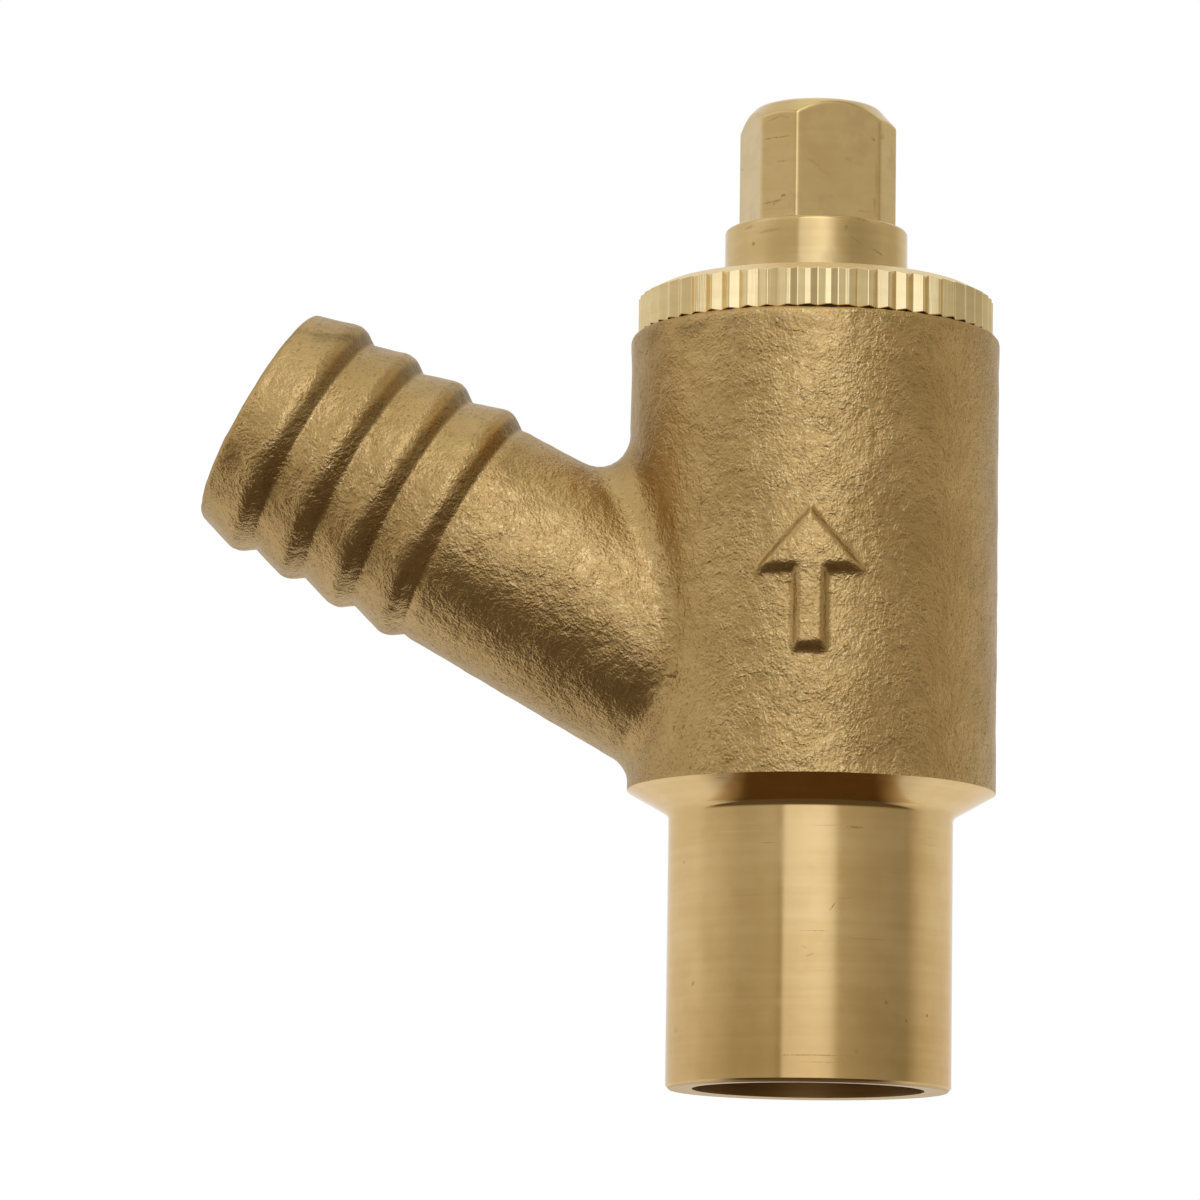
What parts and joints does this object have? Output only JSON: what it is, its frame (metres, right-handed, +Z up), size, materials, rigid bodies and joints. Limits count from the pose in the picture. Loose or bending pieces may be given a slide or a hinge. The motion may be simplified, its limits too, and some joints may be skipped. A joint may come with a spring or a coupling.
{
  "type": "drain-off cock",
  "caption": "Brass screw-down drain cock with a plain spigot, a barbed hose nozzle, a knurled bonnet and a square-headed spindle that lifts a rubber-faced jumper off its seat.",
  "frame": {"origin": "centre of the spigot's end face", "axes": "+Z up the spindle's axis, -X the side the hose nozzle points to, and the nozzle's axis lies in the XZ plane"},
  "size_m": [0.0424, 0.0196, 0.0526],
  "materials": {
    "cast_brass": "sand-cast and blasted, with the spigot and shoulder turned bright",
    "turned_brass": "turned, satin",
    "fibre": "pressed red-brown fibre",
    "rubber": "matt black"
  },
  "bodies": {
    "valve_body": {"body": "cast_brass", "bonnet": "turned_brass", "bonnet_washer": "fibre"},
    "valve": {"jumper": "turned_brass", "seat_washer": "rubber", "washer_screw": "turned_brass"},
    "stem": {"spindle": "turned_brass", "spindle_o_ring": "rubber"}
  },
  "joints": [
    {"name": "spindle_lift", "type": "slide", "parent": "valve_body", "child": "valve", "axis": [0, 0, 1], "range_m": [0, 0.003]},
    {"name": "spindle_turn", "type": "hinge", "parent": "valve", "child": "stem", "pos_m": [0, 0, 0.04587], "axis": [0, 0, 1], "range_deg": [0, 1080]}
  ],
  "couplings": [
    {"joint": "spindle_lift", "follows": "spindle_turn", "m_per_rad": 0.00015915}
  ]
}
